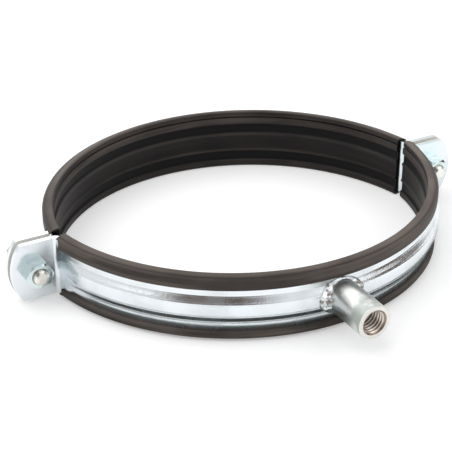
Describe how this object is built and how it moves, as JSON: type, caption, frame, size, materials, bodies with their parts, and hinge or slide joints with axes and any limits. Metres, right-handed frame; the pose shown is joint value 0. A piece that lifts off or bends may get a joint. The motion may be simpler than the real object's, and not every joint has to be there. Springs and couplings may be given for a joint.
{
  "type": "rubber lined pipe clamp",
  "caption": "Two-piece steel pipe clamp with a ribbed rubber lining, bolted ears and a welded threaded boss for a hanger rod.",
  "frame": {"origin": "centre of the pipe opening when the clamp is closed, on the split plane, midway across the strip", "axes": "+Z along the pipe axis, -Y out of the threaded boss, +X towards the right ears"},
  "size_m": [0.2028, 0.1704, 0.027],
  "materials": {
    "strip_steel": "bright zinc plated strip",
    "lining_rubber": "matt extruded rubber",
    "boss_steel": "zinc plated turned steel",
    "weld_metal": "zinc coated weld bead",
    "fastener_steel": "zinc plated fastener"
  },
  "bodies": {
    "front_half": {"front_band": "strip_steel", "front_lining": "lining_rubber", "threaded_boss": "boss_steel", "boss_weld": "weld_metal"},
    "rear_half": {"rear_band": "strip_steel", "rear_lining": "lining_rubber"},
    "left_screw": {"left_screw": "fastener_steel"},
    "right_screw": {"right_screw": "fastener_steel"},
    "left_nut": {"left_nut": "fastener_steel"},
    "right_nut": {"right_nut": "fastener_steel"}
  },
  "joints": [
    {"name": "halves_part", "type": "slide", "parent": "front_half", "child": "rear_half", "axis": [0, 1, 0], "range_m": [0, 0.0064]},
    {"name": "left_screw_feed", "type": "slide", "parent": "front_half", "child": "left_screw", "axis": [0, 1, 0], "range_m": [-0.0064, 0.004]},
    {"name": "right_screw_feed", "type": "slide", "parent": "front_half", "child": "right_screw", "axis": [0, 1, 0], "range_m": [-0.0064, 0.004]},
    {"name": "left_nut_turn", "type": "hinge", "parent": "front_half", "child": "left_nut", "pos_m": [-0.0919, 0, 0], "axis": [0, -1, 0], "range_deg": [-2305, 1441]},
    {"name": "right_nut_turn", "type": "hinge", "parent": "front_half", "child": "right_nut", "pos_m": [0.0919, 0, 0], "axis": [0, -1, 0], "range_deg": [-2305, 1441]}
  ],
  "couplings": [
    {"joint": "left_nut_turn", "follows": "left_screw_feed", "rad_per_m": 6283.2},
    {"joint": "right_nut_turn", "follows": "right_screw_feed", "rad_per_m": 6283.2}
  ]
}
